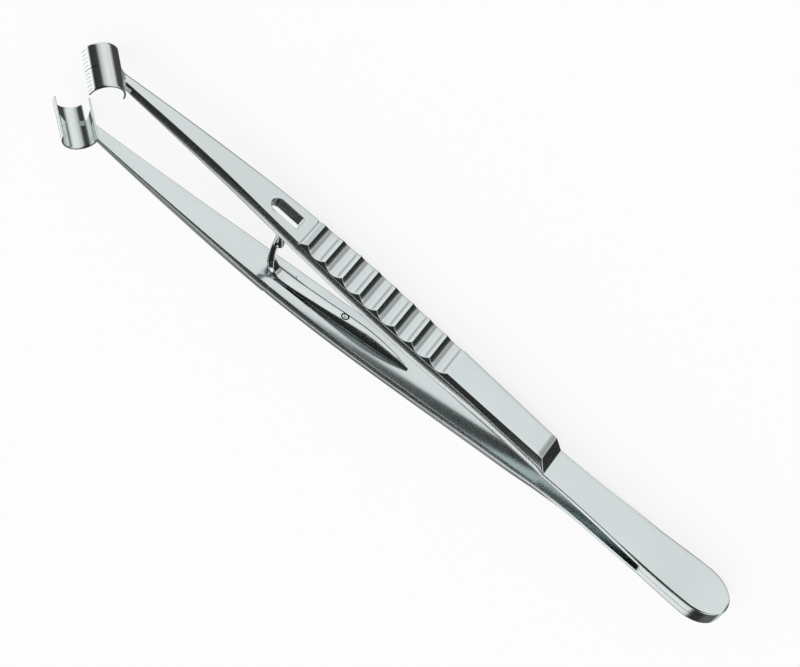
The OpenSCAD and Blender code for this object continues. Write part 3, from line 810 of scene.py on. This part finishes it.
head = bmesh.new()
turned_piece(head, [(0.03, -0.07), (0.12, -0.06), (DIMPLE_R, 0.02), (0.4, 0.05), (BUTTON_R - 0.04, 0.03),
                    (BUTTON_R, -0.01), (BUTTON_R + 0.01, -RING_DEEP), (RING_R - 0.01, -RING_DEEP),
                    (RING_R - 0.01, -RIVET_FOOT)], dark=(5, 6))
pin = finish_mesh("catch_rivet_head", head, spring_steel, 50)
# The seam's bands are painted near black, as painted shade for the gap round the head
pin.data.materials.append(rivet_gap_shade_paint)
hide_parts("catch_rivet")

# What moves with what
for piece, side, sign in ((slotted, "slotted_side", 1), (catching, "catch_side", -1)):
    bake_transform(piece)
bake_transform(hook)
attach(slotted_cup, "slotted_side")
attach(catch_cup, "catch_side")
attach(pin, "catch_side")
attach(slotted_braze, "slotted_side")
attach(catch_braze, "catch_side")

# Floor, light and camera
FLOOR_HALF, FLOOR_GLOW = 6.0, 0.8
floor_mesh = bpy.data.meshes.new("floor")
corners = [(FLOOR_HALF * i, FLOOR_HALF * j, 0) for i, j in ((-1, -1), (1, -1), (1, 1), (-1, 1))]
floor_mesh.from_pydata(corners, [], [(0, 1, 2, 3)])
floor = bpy.data.objects.new("floor", floor_mesh)
bpy.context.scene.collection.objects.link(floor)
floor.visible_glossy = False
# White paper: matt, with most of its brightness its own where the camera sees it, so it stays white
floor_paint, tree = new_material("white_paper_floor")
rays = shader_node(tree, "ShaderNodeLightPath")
seen = shader_node(tree, "ShaderNodeMath", {"operation": "MULTIPLY", 1: FLOOR_GLOW},
                   i0=rays.outputs["Is Camera Ray"])
paper = shader_node(tree, "ShaderNodeBsdfDiffuse", {"Color": paint("#F4F4F4")})
glow = shader_node(tree, "ShaderNodeEmission", {"Color": paint("#FFFFFF"), "Strength": 1.0})
both = shader_node(tree, "ShaderNodeMixShader", None, i0=seen.outputs[0], i1=paper.outputs[0],
                   i2=glow.outputs[0])
shader_node(tree, "ShaderNodeOutputMaterial", Surface=both.outputs[0])
floor_mesh.materials.append(floor_paint)

# The studio round the object, which the metal mirrors. Its ground is a grey at each share of the way
# from straight down to straight up: pale below the horizon, dark above it and straight down
STUDIO_HEIGHTS = [(0.0, 0.06), (0.055, 0.08), (0.12, 0.8), (0.17, 0.95), (0.33, 0.9), (0.44, 0.6),
                  (0.5, 0.06), (0.66, 0.025), (0.8, 0.016), (1.0, 0.016)]
# Round screens, dark and pale: aim in the row's frame, cosine at the edge, cosine where full, grey
SCREENS = [((0.74, 0.06, -0.67), 0.83, 0.93, 0.03), ((-0.02, 0.80, -0.60), 0.985, 0.998, 0.82),
           ((0.37, 0.643, -0.67), 0.982, 0.995, 0.38), ((-0.495, 0.55, -0.67), 0.991, 0.998, 0.42),
           ((0.0, -0.7413, -0.6712), 0.9, 0.97, 0.02), ((-0.8, -0.55, 0.12), 0.7, 0.85, 1.2),
           ((0.65, -0.75, -0.1), 0.92, 0.97, 0.12), ((0.85, 0.28, 0.35), 0.85, 0.95, 0.9),
           ((0.0, -0.94, 0.342), 0.93, 0.985, 0.2),
           ((0.0, -1.0, 0.0), 0.95, 0.99, 0.6), ((0.0, 1.0, 0.0), 0.975, 0.995, 0.5)]
# Strip lamps that lie along X: aim across them, sines of core and rim, middle, core and rim along X, grey
STRIPS = [((0.0, 0.95, 0.31), 0.07, 0.13, 0.2, 0.21, 0.27, 1.15),
          ((0.0, 0.6712, 0.7413), 0.06, 0.1, 0.08, 0.2, 0.32, 1.15)]
world = bpy.data.worlds.new("studio")
bpy.context.scene.world = world
world.use_nodes = True
tree = world.node_tree
tree.nodes.clear()
rays = shader_node(tree, "ShaderNodeLightPath")
way = shader_node(tree, "ShaderNodeTexCoord").outputs["Generated"]
parts = shader_node(tree, "ShaderNodeSeparateXYZ", None, Vector=way)
height = shader_node(tree, "ShaderNodeMapRange", {"From Min": -1.0, "From Max": 1.0},
                     Value=parts.outputs["Z"])
heights = shader_node(tree, "ShaderNodeValToRGB", None, Fac=height.outputs["Result"])
ramp = heights.color_ramp
for i, (spot, grey) in enumerate(STUDIO_HEIGHTS):
    stop = ramp.elements[i] if i < 2 else ramp.elements.new(spot)
    stop.position, stop.color = spot, (grey * 0.98, grey, grey, 1)
studio = heights.outputs["Color"]
for aim, start, full, grey in SCREENS:
    near = shader_node(tree, "ShaderNodeVectorMath",
                       {"operation": "DOT_PRODUCT", 1: Vector(aim).normalized()}, i0=way)
    part = shader_node(tree, "ShaderNodeMapRange", {"interpolation_type": "SMOOTHSTEP", "From Min": start,
                       "From Max": full}, Value=near.outputs["Value"])
    studio = shader_node(tree, "ShaderNodeMixRGB", {"Color2": (grey, grey, grey, 1)},
                         Fac=part.outputs["Result"], Color1=studio).outputs["Color"]
# A strip's plane meets the ground as well as the sky, so it is lit only above this height
STRIPS_FROM = 0.3
above = shader_node(tree, "ShaderNodeMath", {"operation": "GREATER_THAN", 1: STRIPS_FROM},
                    i0=parts.outputs["Z"])
for aim, core, rim, middle, x_core, x_rim, grey in STRIPS:
    off = shader_node(tree, "ShaderNodeVectorMath",
                      {"operation": "DOT_PRODUCT", 1: Vector(aim).normalized()}, i0=way)
    off = shader_node(tree, "ShaderNodeMath", {"operation": "ABSOLUTE"}, i0=off.outputs["Value"])
    part = shader_node(tree, "ShaderNodeMapRange", {"interpolation_type": "SMOOTHSTEP", "From Min": rim,
                       "From Max": core}, Value=off.outputs[0])
    along = shader_node(tree, "ShaderNodeMath", {"operation": "SUBTRACT", 1: middle}, i0=parts.outputs["X"])
    along = shader_node(tree, "ShaderNodeMath", {"operation": "ABSOLUTE"}, i0=along.outputs[0])
    along = shader_node(tree, "ShaderNodeMapRange", {"interpolation_type": "SMOOTHSTEP", "From Min": x_rim,
                        "From Max": x_core}, Value=along.outputs[0])
    part = shader_node(tree, "ShaderNodeMath", {"operation": "MULTIPLY"}, i0=part.outputs["Result"],
                       i1=above.outputs[0])
    part = shader_node(tree, "ShaderNodeMath", {"operation": "MULTIPLY"}, i0=part.outputs[0],
                       i1=along.outputs["Result"])
    studio = shader_node(tree, "ShaderNodeMixRGB", {"Color2": (grey, grey, grey, 1)}, Fac=part.outputs[0],
                         Color1=studio).outputs["Color"]
tone = shader_node(tree, "ShaderNodeMixRGB", {"Color1": paint("#FFFFFF")}, Fac=rays.outputs["Is Glossy Ray"],
                   Color2=studio)
sky = shader_node(tree, "ShaderNodeBackground", {"Strength": 1.0}, Color=tone.outputs[0])
shader_node(tree, "ShaderNodeOutputWorld", Surface=sky.outputs[0])

# The camera looks from the slotted side, 42 degrees up, rolled so that the rear end is low right
BACK = Vector((0.0, 0.7413, 0.6712))
RIGHT = Vector((0.7705, 0.427, -0.472)).normalized()
UP = BACK.cross(RIGHT).normalized()
AIM = Vector((-0.00038, 0.00127, 0.00404))
DISTANCE, FIELD, SENSOR = 0.6, 0.1507, 36.0
camera = bpy.data.cameras.new("camera")
camera.sensor_width = SENSOR
camera.lens = SENSOR * DISTANCE / FIELD
camera.clip_start, camera.clip_end = 0.01, 20
eye = bpy.data.objects.new("camera", camera)
bpy.context.scene.collection.objects.link(eye)
turn = Matrix((RIGHT, UP, BACK)).transposed().to_4x4()
eye.matrix_world = Matrix.Translation(AIM + BACK * DISTANCE) @ turn
bpy.context.scene.camera = eye
bpy.context.scene.view_settings.view_transform = "Standard"

bpy.context.view_layer.update()
